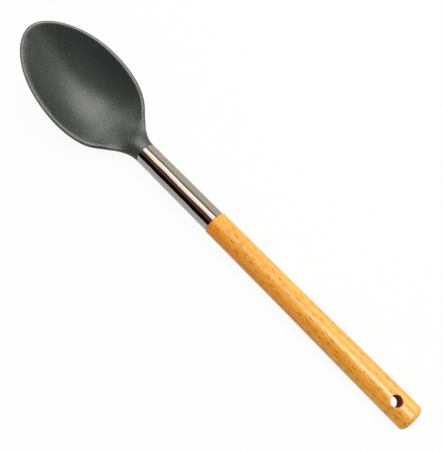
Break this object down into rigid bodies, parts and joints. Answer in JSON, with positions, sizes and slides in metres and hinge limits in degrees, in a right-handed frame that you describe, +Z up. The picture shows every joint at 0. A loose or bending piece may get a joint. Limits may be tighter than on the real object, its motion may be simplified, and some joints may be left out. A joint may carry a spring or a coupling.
{
  "type": "cooking spoon",
  "caption": "Long-handled cooking spoon: a deep oval nylon bowl with a raised lip on a polished steel tube and a round beech handle with a hanging hole.",
  "frame": {"origin": "middle of the length and width, on the surface that the spoon lies on, hollow side up", "axes": "+X along the spoon from the bowl's tip to the end of the handle, +Z up out of the bowl, XZ the plane of symmetry"},
  "size_m": [0.319, 0.0588, 0.0351],
  "materials": {
    "nylon": "fine moulded satin, dark grey",
    "stainless_steel": "mirror-polished stainless steel",
    "beech": "clear lacquer over straight-grained beech"
  },
  "bodies": {
    "root": {"spoon_head": "nylon", "steel_tube": "stainless_steel", "wood_handle": "beech"}
  },
  "joints": []
}
